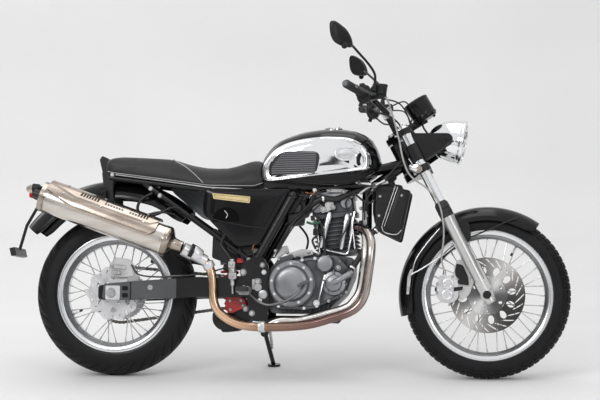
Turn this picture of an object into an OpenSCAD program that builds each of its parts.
// A single-cylinder roadster motorcycle, leaning on its side stand.
// Lengths are in millimetres. X runs forward, Y to the left side, Z up.
// Every module is drawn upright, with the ground under the rear axle as origin.
// The placed module then leans the drawing onto the side stand.

/* [Stance] */
// Distance between the two axles
wheelbase = 1487; // [1440:1:1530]
// Lean to the left on the side stand, in degrees
lean = 10; // [9:0.5:11]
// Rake of the steering axis, in degrees from upright
rake = 27; // [26:0.5:28]
// Distance of the front axle ahead of the steering axis
fork_offset = 50; // [44:1:56]

/* [Wheels] */
// Rear tyre outer radius
rear_r = 326; // [322:1:328]
// Rear tyre crown radius, half the tyre width
rear_crown = 68; // [64:1:69]
// Rear rim flange radius
rear_flange = 229; // [225:1:232]
// Rear rim half width over its flanges
rear_half = 52; // [46:1:54]
// Front tyre outer radius
front_r = 328; // [324:1:332]
// Front tyre crown radius, half the tyre width
front_crown = 56; // [52:1:58]
// Front rim flange radius
front_flange = 255; // [252:1:258]
// Front rim half width over its flanges
front_half = 39; // [35:1:42]
// Spokes in each wheel
spokes = 36; // [24:4:40]
// Spoke diameter
spoke_d = 4; // [3:0.5:5]
// Front brake disc radius
front_disc_r = 149; // [140:1:155]
// Rear brake disc radius
rear_disc_r = 110; // [100:1:116]

/* [Drive] */
// Teeth on the rear sprocket
rear_teeth = 45; // [43:1:45]
// Teeth on the front sprocket
front_teeth = 15; // [14:1:16]
// Chain pitch
pitch = 15.875; // [15:0.125:16]

/* [Fork] */
// Distance of each fork leg from the middle plane
leg_y = 100; // [98:1:106]
// Inner fork tube diameter
tube_d = 41; // [39:1:43]
// Lower fork leg diameter
lower_d = 50; // [48:1:52]
// Height along the fork of the lower clamp
clamp_low = 541; // [536:1:544]
// Height along the fork of the upper clamp
clamp_top = 706; // [702:1:712]

/* [Body] */
// Half width of the fuel tank
tank_half = 132; // [124:1:140]
// Half width of the seat
seat_half = 122; // [112:1:130]
// Half width over the frame tubes
frame_half = 120; // [118:1:124]

/* [Exhaust] */
// Header pipe diameter
header_d = 36; // [32:1:38]
// Muffler diameter
muffler_d = 118; // [108:1:124]
// Distance of the muffler from the middle plane
muffler_y = 200; // [196:1:206]

/* [Controls] */
// Distance of the grip ends from the middle plane
grip_y = 400; // [380:1:420]
// Handlebar tube diameter
bar_d = 22; // [21:0.5:24]
// Grip diameter
grip_d = 33; // [30:1:36]

/* [Hidden] */
// Clearance between pieces that seat on each other
fit = 0.3;
// Placing of the drawing over the middle of its base
shift_x = -692.5;
shift_y = -226;
// Heights of the axles above the ground line
rear_z = rear_r - rear_crown + rear_crown / cos(lean);
front_z = front_r - front_crown + front_crown / cos(lean);
// Foot of the steering axis beside the front axle
steer_x = wheelbase - fork_offset * cos(rake);
steer_z = front_z - fork_offset * sin(rake);
// Pitch radii of the sprockets
rear_pitch_r = pitch / (2 * sin(180 / rear_teeth));
front_pitch_r = pitch / (2 * sin(180 / front_teeth));
// Chain line, swingarm half width and header line, stepped out from the rear tyre
chain_y = rear_crown + 18;
arm_half = chain_y + 42;
header_y = arm_half + 22;
rear_disc_y = 7 - chain_y;
plate_y = arm_half + 2 + fit;
// How far the steering head stands ahead of its drawn place
ahead = wheelbase - 1487;
// Gearbox output shaft and swingarm pivot
output = [655, 345];
pivot = [590, 352];
// Side stand hinge
stand_pivot = [586, 120, 180];
stand_foot = [612, 230, 41];
stand_dir = (stand_foot - stand_pivot) / norm(stand_foot - stand_pivot);
stand_axis = cross(stand_dir, [-1, 0, 0]) / norm(cross(stand_dir, [-1, 0, 0]));

// Placing and shared shapes

module placed() {
    translate([shift_x, shift_y, 0])
    rotate([-lean, 0, 0])
    children();
}

// The steering frame: X ahead of the steering axis, Z up along it
module steered() {
    translate([steer_x, 0, steer_z])
    rotate([0, -rake, 0])
    children();
}

// A point given in the steering frame, in the upright frame
function steer_pt(x, y, s) = [steer_x + x * cos(rake) - s * sin(rake), y,
                              steer_z + x * sin(rake) + s * cos(rake)];

function unit(v) = v / norm(v);

// A straight round rod between two points
module rod(a, b, d) {
    v = b - a;
    translate(a)
    rotate([0, acos(v[2] / norm(v)), atan2(v[1], v[0])])
    cylinder(d = d, h = norm(v), $fn = 32);
}

function bend(p, i) = acos(max(-1, min(1, unit(p[i] - p[i - 1]) * unit(p[i + 1] - p[i]))));

// The points of a bend: the corner itself, or an arc in steps of 30 to 60 degrees
function bent(p, i, r) =
    let (b = bend(p, i), u = unit(p[i] - p[i - 1]), w = unit(p[i + 1] - p[i]))
    b < 60 ? [p[i]] :
    let (n = b < 110 ? 1 : 2, start = p[i] - r * tan(b / 2) * u,
         middle = p[i] + unit(w - u) * r / cos(b / 2), e = unit(start - middle))
    [for (k = [0 : n]) middle + r * (e * cos(b * k / n) + u * sin(b * k / n))];
function path_points(p, r) =
    concat([p[0]], [for (i = [1 : 1 : len(p) - 2]) each bent(p, i, r)], [p[len(p) - 1]]);

// A round tube along a path, with its sharp corners cut over one radius
module pipe(p, d, r) {
    q = path_points(p, r);
    for (i = [0 : len(q) - 2])
        rod(q[i], q[i + 1], d);
    for (i = [1 : 1 : len(q) - 2])
        translate(q[i])
        sphere(d = d * 1.012 / cos(bend(q, i) / 2), $fn = 32);
}

// A side profile in X and Z, from one Y to another
module slab(pts, y0, y1) {
    translate([0, max(y0, y1), 0])
    rotate([90, 0, 0])
    linear_extrude(abs(y1 - y0))
    polygon(pts);
}

// A plan profile in X and Y, from one Z to another
module plan(pts, z0, z1) {
    translate([0, 0, z0])
    linear_extrude(z1 - z0)
    polygon(pts);
}

// A front profile in Y and Z, from one X to another
module front(pts, x0, x1) {
    translate([x0, 0, 0])
    rotate([90, 0, 90])
    linear_extrude(x1 - x0)
    polygon(pts);
}

// A cylinder across the machine
module across(x, z, y0, y1, d) {
    translate([x, max(y0, y1), z])
    rotate([90, 0, 0])
    cylinder(d = d, h = abs(y1 - y0), $fn = 48);
}

// A polygon with each corner rounded over a given length
function arc3(a, b, c, t) =
    let (p = b + unit(a - b) * min(t, norm(a - b) * 0.45),
         q = b + unit(c - b) * min(t, norm(c - b) * 0.45))
    [for (s = [0 : 0.25 : 1]) (1 - s) * (1 - s) * p + 2 * s * (1 - s) * b + s * s * q];
function soft(p, t) =
    [for (i = [0 : len(p) - 1])
        each arc3(p[(i + len(p) - 1) % len(p)], p[i], p[(i + 1) % len(p)], t)];

module both_sides() {
    children();
    mirror([0, 1, 0])
    children();
}

// Wheels

module tyre(r, crown, flange, half) {
    rotate([90, 0, 0])
    rotate_extrude($fn = 96)
    difference() {
        translate([r - crown, 0])
        circle(crown, $fn = 64);
        translate([0, -crown])
        square([flange - 10 + fit, 2 * crown]);
        for (side = [-1, 1])
            translate([0, side > 0 ? half - 8 - fit : -crown])
            square([flange + fit, crown - half + 8 + fit]);
    }
}

module rim_ring(flange, half) {
    rotate([90, 0, 0])
    rotate_extrude($fn = 96)
    polygon([[flange, -half], [flange, -half + 5], [flange - 10, -half + 8],
             [flange - 12, -half * 0.5], [flange - 25, -half * 0.32],
             [flange - 25, half * 0.32], [flange - 12, half * 0.5],
             [flange - 10, half - 8], [flange, half - 5], [flange, half],
             [flange - 14, half - 2], [flange - 18, half * 0.55],
             [flange - 32, half * 0.38], [flange - 32, -half * 0.38],
             [flange - 18, -half * 0.55], [flange - 14, -half + 2]]);
}

// Crossed spokes from the hub flanges to the rim
module spoke_set(flange, hub_r, hub_y) {
    for (i = [0 : spokes - 1]) {
        side = i % 2 == 0 ? 1 : -1;
        lead = floor(i / 2) % 2 == 0 ? 1 : -1;
        a = i * 360 / spokes;
        h = a + lead * 48;
        rod([hub_r * cos(h), side * hub_y, hub_r * sin(h)],
            [(flange - 27) * cos(a), side * 7, (flange - 27) * sin(a)], spoke_d);
    }
}

// A hub: barrel, two spoke flanges and a bore for its axle
module hub(barrel_d, flange_r, flange_y, y0, y1, bore_d) {
    difference() {
        union() {
            across(0, 0, y0, y1, barrel_d);
            for (side = [-1, 1])
                across(0, 0, side * flange_y - 3, side * flange_y + 3, 2 * flange_r);
        }
        across(0, 0, y0 - 1, y1 + 1, bore_d);
    }
}

module front_tyre() {
    color("#1b1c1e")
    placed()
    translate([wheelbase, 0, front_z])
    tyre(front_r, front_crown, front_flange, front_half);
}

module rear_tyre() {
    color("#1b1c1e")
    placed()
    translate([0, 0, rear_z])
    tyre(rear_r, rear_crown, rear_flange, rear_half);
}

module front_rim() {
    color("#c9ccd0")
    placed()
    translate([wheelbase, 0, front_z]) {
        rim_ring(front_flange, front_half);
        spoke_set(front_flange, 40, 34);
        hub(56, 44, 34, -62.5, 58, 20 + 2 * fit);
    }
}

module rear_rim() {
    color("#c9ccd0")
    placed()
    translate([0, 0, rear_z]) {
        rim_ring(rear_flange, rear_half);
        spoke_set(rear_flange, 52, 40);
        hub(80, 56, 40, 9.5 - chain_y, chain_y - 4.5, 24 + 2 * fit);
    }
}

// A brake disc with a row of cooling slots and an open middle with arms
module brake_disc(r, hub_r, y, bore_d) {
    difference() {
        union() {
            difference() {
                across(0, 0, y - 2.5, y + 2.5, 2 * r);
                across(0, 0, y - 3, y + 3, 2 * r - 84);
            }
            for (i = [0 : 5])
                rotate([0, i * 60, 0])
                translate([hub_r - 6, y - 2.5, -9])
                cube([r - 40 - hub_r + 6, 5, 18]);
            across(0, 0, y - 2.5, y + 2.5, 2 * hub_r);
        }
        across(0, 0, y - 3, y + 3, bore_d);
        for (i = [0 : 17])
            rotate([0, i * 20, 0])
            translate([r - 30, y - 3, 0])
            rotate([0, 40, 0])
            cube([22, 6, 4]);
    }
}

module front_disc() {
    color("#b9bcc0")
    placed()
    translate([wheelbase, 0, front_z])
    brake_disc(front_disc_r, 46, -65, 20 + 2 * fit);
}

module rear_disc() {
    color("#b9bcc0")
    placed()
    translate([0, 0, rear_z])
    brake_disc(rear_disc_r, 46, rear_disc_y, 24 + 2 * fit);
}

module rear_sprocket() {
    tooth_r = rear_pitch_r - 9.8;
    color("#8d9094")
    placed()
    translate([0, 0, rear_z])
    difference() {
        across(0, 0, chain_y - 4, chain_y + 4, 2 * tooth_r);
        across(0, 0, chain_y - 5, chain_y + 5, 24 + 2 * fit);
        for (i = [0 : rear_teeth - 1])
            rotate([0, i * 360 / rear_teeth, 0])
            translate([tooth_r + 1, chain_y, 0])
            rotate([90, 0, 0])
            cylinder(d = 9, h = 12, center = true, $fn = 16);
        for (i = [0 : 4])
            rotate([0, i * 72, 0])
            across(70, 0, chain_y - 5, chain_y + 5, 34);
    }
}

// Chain loop, drawn at its pitch line

tangent = acos((rear_pitch_r - front_pitch_r) / norm(output - [0, rear_z]));
slope = atan2(output[1] - rear_z, output[0]);

module chain_shape(extra) {
    polygon(concat(
        [for (k = [0 : 8]) output + (front_pitch_r + extra) *
            [cos(slope - tangent + k * tangent / 4), sin(slope - tangent + k * tangent / 4)]],
        [for (k = [0 : 24]) let (a = slope + tangent + k * (180 - tangent) / 12)
            [0, rear_z] + (rear_pitch_r + extra) * [cos(a), sin(a)]]));
}

module chain() {
    color("#6f6a60")
    placed()
    translate([0, chain_y + 6, 0])
    rotate([90, 0, 0])
    linear_extrude(12)
    difference() {
        chain_shape(7.5);
        chain_shape(-7.5);
    }
}

// Frame

module frame() {
    color("#202124")
    placed() {
        difference() {
            union() {
                steered()
                translate([0, 0, clamp_low + 34])
                cylinder(d = 62, h = clamp_top - clamp_low - 40, $fn = 48);
                both_sides()
                pipe([[1150 + ahead, 20, 852], [770, 50, 752], [722, frame_half, 716],
                      [575, frame_half, 450]], 36, 40);
                pipe([[1140 + ahead, 0, 836], [1008, 0, 742], [1006, 0, 440]], 40, 60);
                both_sides()
                pipe([[1006, 0, 452], [1000, 56, 335], [885, 60, 229], [604, 60, 229]], 28, 50);
            }
            steered()
            translate([0, 0, clamp_low])
            cylinder(d = 31, h = clamp_top - clamp_low, $fn = 48);
        }
    }
}

// Pivot plates, cross tubes and the lugs of the side stand, welded to the frame tubes
module pivot_plates() {
    color("#202124")
    placed() {
        both_sides()
        difference() {
            slab(soft([[528, 452], [604, 480], [636, 424], [625, 370], [634, 312], [628, 218],
                       [566, 218], [548, 300], [516, 385]], 18), plate_y, plate_y + 8);
            across(pivot[0], pivot[1], 120, 150, 16 + 2 * fit);
        }
        across(604, 236, -plate_y - 4, plate_y + 4, 26);
        across(560, 450, -plate_y - 4, plate_y + 4, 26);
        stand_lugs();
    }
}

module stand_lugs() {
    for (t = [-16, 9])
        translate(stand_pivot + stand_axis * t)
        rotate([0, acos(stand_axis[2]), atan2(stand_axis[1], stand_axis[0])])
        cylinder(d = 30, h = 7, $fn = 48);
    rod(stand_pivot - stand_axis * 19, stand_pivot + stand_axis * 19, 12);
    rod(stand_pivot + stand_axis * 14 + [0, 0, 9], [600, 126, 236], 12);
    rod(stand_pivot - stand_axis * 16, [596, 60, 222], 12);
}

module side_stand() {
    foot_up = [0, -sin(lean), cos(lean)];
    color("#26272a") {
        placed()
        difference() {
            union() {
                translate(stand_pivot - stand_axis * 7)
                rotate([0, acos(stand_axis[2]), atan2(stand_axis[1], stand_axis[0])])
                cylinder(d = 34, h = 14, $fn = 48);
                rod(stand_pivot + stand_dir * 12, stand_foot + stand_dir * -6, 18);
            }
            rod(stand_pivot - stand_axis * 20, stand_pivot + stand_axis * 20, 12 + 2 * fit);
        }
        translate([shift_x, shift_y, 0])
        translate([stand_foot[0], stand_foot[1] * cos(lean) + stand_foot[2] * sin(lean), 0])
        cylinder(d = 52, h = 9, $fn = 48);
    }
}

module subframe() {
    color("#202124")
    placed()
    difference() {
        union() {
            both_sides() {
                rod([-20, 98, 789], [716, 98, 699], 24);
                rod([120, 98, 766], [548, 98, 462], 22);
            }
            for (p = [[-8, 792.6], [150, 767.8], [360, 743.5]])
                across(p[0], p[1], -98, 98, 18);
            both_sides()
            slab([[-33, 866], [-58, 874], [-66, 862], [-50, 800], [-30, 781], [-8, 781],
                  [-8, 796], [-33, 806]], 60, 66);
        }
        both_sides()
        rod([733, frame_half, 736], [575, frame_half, 450], 36 + 2 * fit);
        across(560, 450, -131, 131, 26 + 2 * fit);
    }
}

module swingarm() {
    color("#232427")
    placed()
    difference() {
        union() {
            both_sides()
            slab(soft([[-52, 300], [-52, 356], [60, 372], [344, 392], [560, 392], [612, 375],
                       [612, 330], [560, 314], [344, 312], [60, 300]], 14),
                 arm_half - 30, arm_half);
            slab([[346, 326], [346, 380], [384, 380], [384, 326]], -arm_half + 15, arm_half - 15);
            across(pivot[0], pivot[1], -arm_half, arm_half, 36);
        }
        across(pivot[0], pivot[1], -150, 150, 16 + 2 * fit);
        both_sides()
        slab([[-34, rear_z - 12.3], [-34, rear_z + 12.3], [34, rear_z + 12.3],
              [34, rear_z - 12.3]], arm_half - 40, arm_half + 1);
    }
}

module rear_axle() {
    color("#a9acb0")
    placed() {
        across(0, rear_z, -arm_half - 12, arm_half + 12, 24);
        both_sides() {
            across(0, rear_z, arm_half + fit, arm_half + 8, 40);
            across(0, rear_z, arm_half + 8, arm_half + 18, 30);
        }
        across(0, rear_z, -arm_half + 30 + fit, 2.5 - chain_y, 36);
        across(0, rear_z, arm_half - 30 - fit, chain_y + 6.5, 36);
        across(pivot[0], pivot[1], -plate_y - 16, plate_y + 16, 16);
        both_sides()
        across(pivot[0], pivot[1], plate_y + 8 + fit, plate_y + 18, 30);
    }
}

module shock() {
    low = [478, 0, 252];
    high = [436, 0, 566];
    u = unit(high - low);
    color("#b5231c")
    placed() {
        rod(low + u * 4, high - u * 4, 34);
        for (i = [0 : 7])
            translate(low + u * (40 + i * 30))
            rotate([0, acos(u[2]) * sign(u[0]), 0])
            rotate_extrude($fn = 48)
            translate([29, 0])
            circle(d = 14, $fn = 24);
        rod(low + u * 28, low + u * 36, 70);
        rod(high - u * 42, high - u * 34, 70);
        across(low[0], low[2], -30, 30, 30);
        across(high[0], high[2], -30, 30, 30);
        both_sides()
        slab(soft([[392, 268], [410, 296], [520, 262], [588, 216], [560, 186], [452, 190]], 16),
             31, 41);
    }
}

// Engine

module engine_cases() {
    color("#6d7074")
    placed() {
        difference() {
            slab(soft([[640, 252], [850, 252], [930, 330], [960, 400], [962, 472], [800, 492],
                       [712, 478], [640, 440], [620, 392], [616, 300]], 14), -104, 104);
            across(pivot[0], pivot[1], -150, 150, 44);
            slab([[600, 268], [600, 432], [718, 432], [718, 268]], chain_y - 12, 110);
        }
        across(output[0], output[1], 60, chain_y + 5, 40);
    }
}

module engine_covers() {
    color("#a4a7ab")
    placed() {
        slab(soft([[640, 300], [660, 266], [800, 262], [912, 316], [944, 410], [890, 480],
                   [760, 470], [650, 440]], 24), -104 - fit, -129.5);
        across(722, 368, -129, -148, 184);
        across(722, 368, -148, -165, 126);
        across(888, 370, -129, -158, 60);
        across(852, 447, -129, -147, 66);
        slab(soft([[722, 266], [912, 316], [944, 410], [890, 480], [722, 474]], 24),
             104 + fit, 126);
        across(845, 372, 126, 146, 150);
        slab(soft([[616, 290], [616, 410], [660, 424], [712, 400], [712, 290], [660, 276]], 20),
             chain_y + 12, plate_y - 1);
    }
}

module engine_top() {
    color("#8a8d91")
    placed() {
        difference() {
            slab([[812, 492.3], [954, 474.3], [968, 664], [826, 684]], -74, 74);
            for (i = [0 : 3])
                both_sides()
                slab([[800, 520 + i * 24], [800, 526 + i * 24], [990, 508 + i * 24],
                      [990, 502 + i * 24]], 60, 80);
        }
        slab(soft([[788, 642], [972, 622], [976, 700], [940, 738], [820, 742], [786, 700]], 16),
             -88, 88);
        rod([800, 0, 690], [716, 0, 664], 56);
    }
}

module radiator() {
    color("#1d1e20")
    placed() {
        slab(soft([[1054, 746], [1046, 590], [1140, 544], [1182, 734]], 10), -60, 60);
        both_sides()
        slab(soft([[1048, 762], [1046, 590], [1140, 544], [1182, 734]], 10), 50, 78);
        across(1046, 680, -20, 20, 30);
    }
}

// Exhaust

module header_pipes() {
    tip = [236, -muffler_y, 528];
    u = unit([504, 0, -179]);
    color("#8e6a50")
    placed()
    difference() {
        union() {
            pipe([[238, -muffler_y, 527], [352, -176, 482], [402, -header_y, 420],
                  [412, -header_y, 297], [466, -header_y, 234], [556, -header_y, 197],
                  [752, -header_y, 199], [950, -header_y, 256], [1008, -header_y, 322],
                  [1036, -header_y, 492], [1012, -104, 582], [972, -66, 592]], header_d, 34);
            pipe([[630, -header_y, 198], [680, -header_y + 28, 221], [752, -header_y + 28, 222],
                  [945, -header_y + 28, 277], [990, -header_y + 32, 338],
                  [1012, -header_y + 38, 490], [1002, -66, 584], [972, -26, 598]],
                 header_d - 2, 30);
        }
        slab([[800, 470], [954 + fit, 470], [968 + fit, 664], [800, 664]], -90, 90);
        rod(tip - u * 50, tip + u * (8 + fit), muffler_d + 20);
    }
}

module muffler() {
    rear = [-268, -muffler_y, 707];
    tip = [236, -muffler_y, 528];
    u = unit(tip - rear);
    color("#b9b0a2")
    placed() {
        difference() {
            rod(rear + u * 12, tip, muffler_d);
            rod(rear - u * 10, rear + u * 120, 26);
        }
        difference() {
            rod(rear, rear + u * 16, muffler_d + 6);
            rod(rear - u * 10, rear + u * 120, 26);
        }
        rod(tip - u * 10, tip + u * 8, muffler_d + 6);
        slab([[-60, 700], [-60, 790], [-30, 794], [-30, 660]], -118, -muffler_y + 40);
    }
}

module heat_shield() {
    rear = [-250, -muffler_y, 701];
    tip = [200, -muffler_y, 541];
    u = unit(tip - rear);
    outward = [0.335 * cos(50), -sin(50), 0.942 * cos(50)];
    color("#a59a8a")
    placed() {
        for (t = [70, 400])
            rod(rear + u * t + outward * (muffler_d / 2 + fit),
                rear + u * t + outward * (muffler_d / 2 + 15), 16);
        difference() {
            rod(rear, tip, muffler_d + 34);
            rod(rear - u * 10, tip + u * 10, muffler_d + 26);
            slab([[-400, 300], [-400, 756], [300, 508], [300, 300]], -400, 0);
            translate([-400, -muffler_y + 30, 300])
            cube([800, 200, 600]);
        }
    }
}

// Bodywork

tank_side = [[590, 800], [600, 880], [637, 931], [689, 960], [747, 980], [830, 989], [914, 989],
             [965, 982], [1004, 966], [1030, 944], [1049, 911], [1060, 873], [1056, 822],
             [1018, 796], [960, 764], [864, 757], [736, 767], [613, 777]];

module fuel_tank() {
    color("#161719")
    placed()
    difference() {
        intersection() {
            slab(tank_side, -tank_half, tank_half);
            plan(soft([[580, -88], [640, -112], [820, -tank_half], [960, -tank_half], [1060, -70],
                       [1066, 0], [1060, 70], [960, tank_half], [820, tank_half], [640, 112],
                       [580, 88]], 60), 700, 1010);
            front(soft([[-tank_half, 740], [-tank_half, 900], [-96, 976], [-30, 992], [30, 992],
                        [96, 976], [tank_half, 900], [tank_half, 740]], 50), 560, 1080);
        }
        slab([[560, 700], [560, 806], [720, 812], [1080, 905], [1080, 700]], -82, 82);
    }
}

module tank_panels() {
    color("#d5d8db")
    placed()
    both_sides()
    slab(soft([[612, 800], [640, 778], [813, 796], [1001, 819], [1030, 832], [1026, 870],
               [1004, 905], [938, 940], [836, 944], [740, 934], [660, 900], [624, 860]], 20),
         tank_half + fit, tank_half + 5);
}

module fuel_cap() {
    color("#c2c5c9")
    placed()
    translate([872, 0, 990])
    cylinder(d = 78, h = 9, $fn = 48);
}

module seat() {
    color("#232325")
    placed()
    intersection() {
        slab(soft([[-30, 812], [-28, 868], [-10, 877], [232, 865], [300, 846], [373, 832],
                   [451, 830], [513, 845], [559, 858], [584, 862], [586, 800], [600, 770],
                   [560, 752], [384, 752.3], [5, 798.6]], 20), -seat_half, seat_half);
        front(soft([[-seat_half, 740], [-seat_half, 850], [-104, 880], [104, 880],
                    [seat_half, 850], [seat_half, 740]], 24), -40, 610);
        plan(soft([[-40, -118], [240, -seat_half], [420, -112], [590, -84], [602, -84],
                   [602, 84], [590, 84], [420, 112], [240, seat_half], [-40, 118]], 40),
             740, 890);
    }
}

module side_covers() {
    color("#1b1c1e")
    placed()
    both_sides() {
        slab(soft([[374, 722], [694, 722], [584, 522], [500, 512], [402, 606], [370, 640]], 10),
             112, 117);
        slab([[408, 690], [408, 708], [520, 704], [520, 686]], 117, 119);
    }
}

module airbox() {
    color("#242528")
    placed()
    slab([[400, 620], [480, 560], [600, 560], [680, 716], [400, 722]], -86, 86);
}

module rear_fender() {
    color("#18191b")
    placed()
    difference() {
        translate([0, 0, rear_z])
        rotate([0, -46, 0])
        rotate([90, 0, 0])
        rotate_extrude(angle = 98, $fn = 96)
        difference() {
            translate([364, 0])
            circle(92, $fn = 48);
            translate([364, 0])
            circle(88, $fn = 48);
            translate([0, -100])
            square([362, 200]);
        }
        both_sides()
        rod([120, 98, 766], [548, 98, 462], 24);
    }
}

module rear_lamps() {
    color("#b04a3c")
    placed() {
        slab([[-352, 712], [-352, 752], [-318, 756], [-306, 700]], -52, 52);
        difference() {
            rod([-320, 0, 726], [-280, 0, 690], 30);
            across(0, rear_z, -30, 30, 2 * 456.4);
        }
        both_sides() {
            rod([-320, 50, 736], [-320, 118, 738], 9);
            rod([-352, 118, 740], [-298, 118, 744], 34);
        }
        pipe([[-329, 0, 706], [-329, 0, 690], [-378, 0, 602], [-412, 0, 482]], 10, 20);
        slab([[-430, 506], [-420, 470], [-392, 474], [-402, 512]], -95, 95);
    }
}

// Foot gear and rear brake

module footpegs() {
    color("#303235")
    placed()
    both_sides() {
        across(534, 340, 138.6, 150, 30);
        rod([534, 148, 341], [530, 240, 346], 24);
    }
}

module foot_controls() {
    color("#7c7f83")
    placed() {
        pipe([[562, -176, 320], [628, -176, 283], [711, -176, 302], [777, -184, 357]], 12, 40);
        across(562, 320, -138.6, -182, 20);
        rod([777, -178, 357], [777, -222, 357], 16);
        pipe([[664, 160, 330], [760, 160, 300], [830, 166, 345]], 12, 40);
        across(664, 330, 132.3, 166, 20);
        rod([830, 160, 345], [830, 206, 345], 16);
    }
}

module rear_brake() {
    color("#b9bbbe")
    placed() {
        difference() {
            slab(soft([[-6, 388], [-12, 452], [60, 466], [84, 430], [84, 398], [40, 384]], 10),
                 rear_disc_y + 19, rear_disc_y - 18);
            across(0, rear_z, rear_disc_y - 7.5, rear_disc_y + 7.5, 2 * rear_disc_r + 12);
        }
        slab([[20, 372.5], [80, 374.5], [80, 400], [20, 400]], rear_disc_y - 12, rear_disc_y - 18);
        rod([486, -plate_y - 24, 458], [491, -plate_y - 24, 340], 30);
        slab([[486, 372], [542, 372], [542, 398], [486, 398]], -plate_y - 8 - fit, -plate_y - 16);
    }
}

// Fork and steering

module clamp_plate(s, h) {
    steered()
    translate([0, 0, s])
    difference() {
        union() {
            for (side = [-1, 1])
                translate([fork_offset, side * leg_y, 0])
                cylinder(d = tube_d + 20, h = h, $fn = 48);
            translate([0, 0, 0])
            linear_extrude(h)
            polygon(soft([[-34, -20], [fork_offset - 24, -leg_y], [fork_offset + 18, -leg_y],
                          [34, 0], [fork_offset + 18, leg_y], [fork_offset - 24, leg_y],
                          [-34, 20]], 16));
        }
        for (side = [-1, 1])
            translate([fork_offset, side * leg_y, -1])
            cylinder(d = tube_d + 2 * fit, h = h + 2, $fn = 48);
    }
}

// One lamp ear, clamped round the left fork tube
module lamp_ear() {
    difference() {
        union() {
            translate([ahead, 0, 0])
            slab(soft([[1165, 905], [1172, 966], [1346, 966], [1346, 924], [1240, 850]], 20),
                 91.5, 97);
            steered()
            translate([fork_offset, leg_y, clamp_low + 50])
            cylinder(d = tube_d + 12, h = 70, $fn = 48);
        }
        steered()
        translate([fork_offset, leg_y, clamp_low])
        cylinder(d = tube_d + 2 * fit, h = 200, $fn = 48);
    }
}

module fork_clamps() {
    color("#2a2b2e")
    placed() {
        clamp_plate(clamp_low, 30);
        steered()
        translate([0, 0, clamp_low + 10])
        cylinder(d = 30, h = clamp_top - clamp_low - 10, $fn = 48);
        clamp_plate(clamp_top, 24);
        for (side = [-1, 1])
            rod(steer_pt(20, side * 50, clamp_top + 20), steer_pt(20, side * 50, clamp_top + 106), 26);
        both_sides()
        lamp_ear();
    }
}

module fork_tubes() {
    color("#c8cacd")
    placed()
    steered()
    for (side = [-1, 1])
        translate([fork_offset, side * leg_y, 332])
        cylinder(d = tube_d, h = 405, $fn = 48);
}

module fork_lowers() {
    color("#b7babd")
    placed()
    steered()
    for (side = [-1, 1])
        difference() {
            union() {
                translate([fork_offset, side * leg_y, -34])
                cylinder(d = lower_d, h = 394, $fn = 48);
                translate([fork_offset, side * leg_y, 360])
                cylinder(d = lower_d + 6, h = 18, $fn = 48);
            }
            translate([fork_offset, side * leg_y, 332 - fit])
            cylinder(d = tube_d + 2 * fit, h = 60, $fn = 48);
            across(fork_offset, 0, side * leg_y - 40, side * leg_y + 40, 20 + 2 * fit);
        }
}

bar_mid = steer_pt(20, 0, clamp_top + 117);

module handlebar() {
    color("#1f2022")
    placed()
    pipe([[955 + ahead, -grip_y, 1122], [1024 + ahead, -214, 1098], bar_mid + [0, -96, 0],
          bar_mid + [0, 96, 0], [1024 + ahead, 214, 1098], [955 + ahead, grip_y, 1122]],
         bar_d, 50);
}

module grips() {
    color("#2b2c2f")
    placed()
    translate([ahead, 0, 0])
    both_sides()
    difference() {
        rod([953.5, grip_y + 4, 1122.5], [998, 284, 1107], grip_d);
        pipe([[955, grip_y, 1122], [1024, 214, 1098]], bar_d + 2 * fit, 50);
    }
}

module controls() {
    color("#2d2e31")
    placed()
    translate([ahead, 0, 0])
    both_sides()
    difference() {
        union() {
            rod([1000, 279, 1106.4], [1016, 236, 1100.8], 46);
            slab(soft([[1012, 1112], [1090, 1120], [1096, 1096], [1040, 1078], [1012, 1082]], 8),
                 214, 262);
            rod([1074, 238, 1104], [1074, 238, 1140], 50);
            pipe([[1050, 250, 1104], [1040, 300, 1100], [1000, 400, 1112]], 10, 30);
        }
        pipe([bar_mid + [-ahead, 96, 0], [1024, 214, 1098], [955, grip_y, 1122]],
             bar_d + 2 * fit, 50);
    }
}

module mirrors() {
    color("#232427")
    placed()
    translate([ahead, 0, 0])
    both_sides() {
        pipe([[1052, 246, 1126], [1054, 262, 1180], [948, 420, 1304]], 10, 24);
        translate([940, 425, 1312])
        rotate([0, 0, 45])
        rotate([0, 90, 0])
        rotate([0, 0, 90])
        linear_extrude(16, center = true)
        polygon(soft([[-58, 20], [-40, 48], [20, 50], [60, 16], [62, -30], [20, -50],
                      [-36, -40]], 26));
    }
}

module headlight() {
    color("#d2d5d8")
    placed()
    translate([ahead, 0, 0]) {
        translate([1379, 0, 936])
        rotate([0, 10, 0])
        rotate([0, 90, 0])
        rotate_extrude($fn = 96)
        polygon(concat([[0, -134]], [for (a = [10 : 10 : 80]) [88 * sin(a), -134 * cos(a)]],
                       [[91, 0], [91, 12], [84, 14], [0, 26]]));
        across(1330, 945, -91.5 + fit, 91.5 - fit, 26);
    }
}

module gauge() {
    face = [1199 + ahead, 0, 1100];
    u = [sin(32.4), 0, -cos(32.4)];
    color("#202124")
    placed() {
        rod(face, face + u * 84, 104);
        rod(face + u * 80, steer_pt(fork_offset - 10, 0, clamp_top + 24.3), 40);
    }
}

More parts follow.
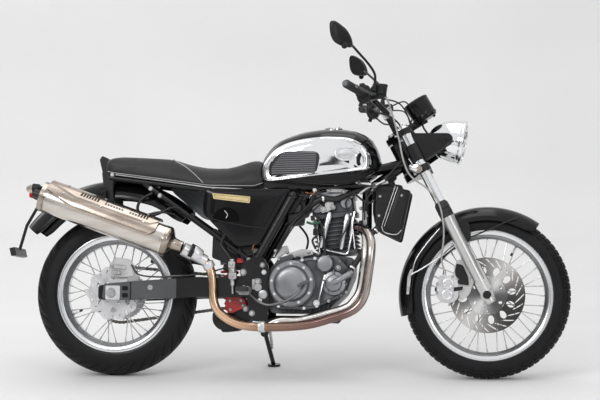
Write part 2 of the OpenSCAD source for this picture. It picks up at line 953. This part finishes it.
module front_fender() {
    color("#17181a")
    placed() {
        translate([wheelbase, 0, front_z])
        rotate([0, -56, 0])
        rotate([90, 0, 0])
        rotate_extrude(angle = 141, $fn = 96)
        difference() {
            translate([280, 0])
            circle(72, $fn = 48);
            translate([280, 0])
            circle(68, $fn = 48);
            translate([0, -100])
            square([294, 200]);
        }
        both_sides()
        steered()
        translate([fork_offset, 70, 262])
        rotate([-90, 0, 0])
        cylinder(d = 24, h = 5 - fit, $fn = 32);
    }
}

module front_brake() {
    color("#c3c6c9")
    placed()
    translate([ahead, 0, 0])
    difference() {
        union() {
            difference() {
                slab(soft([[1286, 318], [1290, 396], [1346, 408], [1376, 380], [1372, 316],
                           [1330, 300]], 12), -46, -98);
                across(wheelbase - ahead, front_z, -72.5, -57.5, 2 * front_disc_r + 12);
            }
            slab([[1352, 380], [1372, 440], [1400, 452], [1384, 370]], -80, -92);
            pipe([[1320, -98, 380], [1306, -132, 470], [1300, -140, 660], [1160, -140, 800],
                  [1130, -140, 960], [1100, -180, 1090], [1084, -217, 1104]], 8, 50);
        }
        slab([[1000, 1070], [1000, 1130], [1110, 1130], [1110, 1070]], -214 + fit, -270);
    }
}

module front_axle() {
    color("#a9acb0")
    placed() {
        across(wheelbase, front_z, -leg_y - 27, leg_y + 27, 20);
        across(wheelbase, front_z, -leg_y + 27.6, -69.5, 34);
        across(wheelbase, front_z, leg_y - 27.6, 60, 34);
        both_sides()
        across(wheelbase, front_z, leg_y + 25.6, leg_y + 34, 32);
    }
}

// Drawing

frame();
pivot_plates();
subframe();
swingarm();
rear_axle();
shock();
engine_cases();
engine_covers();
engine_top();
radiator();
fuel_tank();
tank_panels();
fuel_cap();
seat();
side_covers();
airbox();
rear_fender();
rear_lamps();
header_pipes();
muffler();
heat_shield();
chain();
footpegs();
foot_controls();
rear_brake();
fork_clamps();
fork_tubes();
fork_lowers();
handlebar();
grips();
controls();
mirrors();
headlight();
gauge();
front_fender();
front_brake();
front_axle();
front_tyre();
front_rim();
front_disc();
rear_tyre();
rear_rim();
rear_disc();
rear_sprocket();
side_stand();
